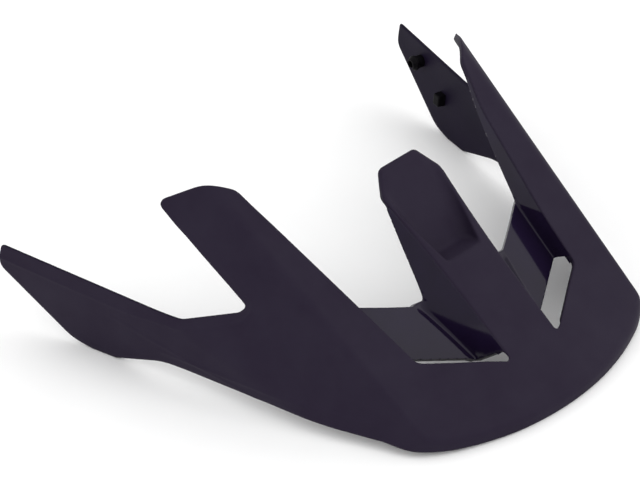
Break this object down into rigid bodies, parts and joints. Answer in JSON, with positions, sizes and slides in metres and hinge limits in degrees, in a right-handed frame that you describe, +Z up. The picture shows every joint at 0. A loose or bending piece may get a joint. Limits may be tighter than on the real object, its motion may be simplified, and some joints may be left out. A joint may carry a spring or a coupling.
{
  "type": "helmet visor",
  "caption": "Clip-on visor for a mountain bike helmet: a thin peaked skin with air ducts, swept side arms and snap-in pivot studs.",
  "frame": {"origin": "middle of the bounding box's bottom face: the plane on which the visor rests on its front edge and both knees", "axes": "+X is the wearer's left, -Y the front, +Z up; the visor is mirror-symmetric about the plane X = 0"},
  "size_m": [0.1944, 0.1666, 0.0659],
  "materials": {
    "matte_skin": "fine matte texture, dark purple-black",
    "gloss_liner": "polished, dark grey-purple",
    "black_fitting": "satin black"
  },
  "bodies": {
    "visor": {"visor_shell": "matte_skin", "duct_liner_left": "gloss_liner", "duct_liner_right": "gloss_liner", "index_lug_left": "black_fitting", "index_lug_right": "black_fitting"},
    "stud_left": {"pivot_stud_left": "black_fitting"},
    "stud_right": {"pivot_stud_right": "black_fitting"}
  },
  "joints": [
    {"name": "tilt_left", "type": "hinge", "parent": "visor", "child": "stud_left", "pos_m": [0.09158, 0.0681, 0.0226], "axis": [0.9736, -0.2284, 0], "range_deg": [-15, 15]},
    {"name": "tilt_right", "type": "hinge", "parent": "visor", "child": "stud_right", "pos_m": [-0.09158, 0.0681, 0.0226], "axis": [0.9736, 0.2284, 0], "range_deg": [-15, 15]}
  ]
}
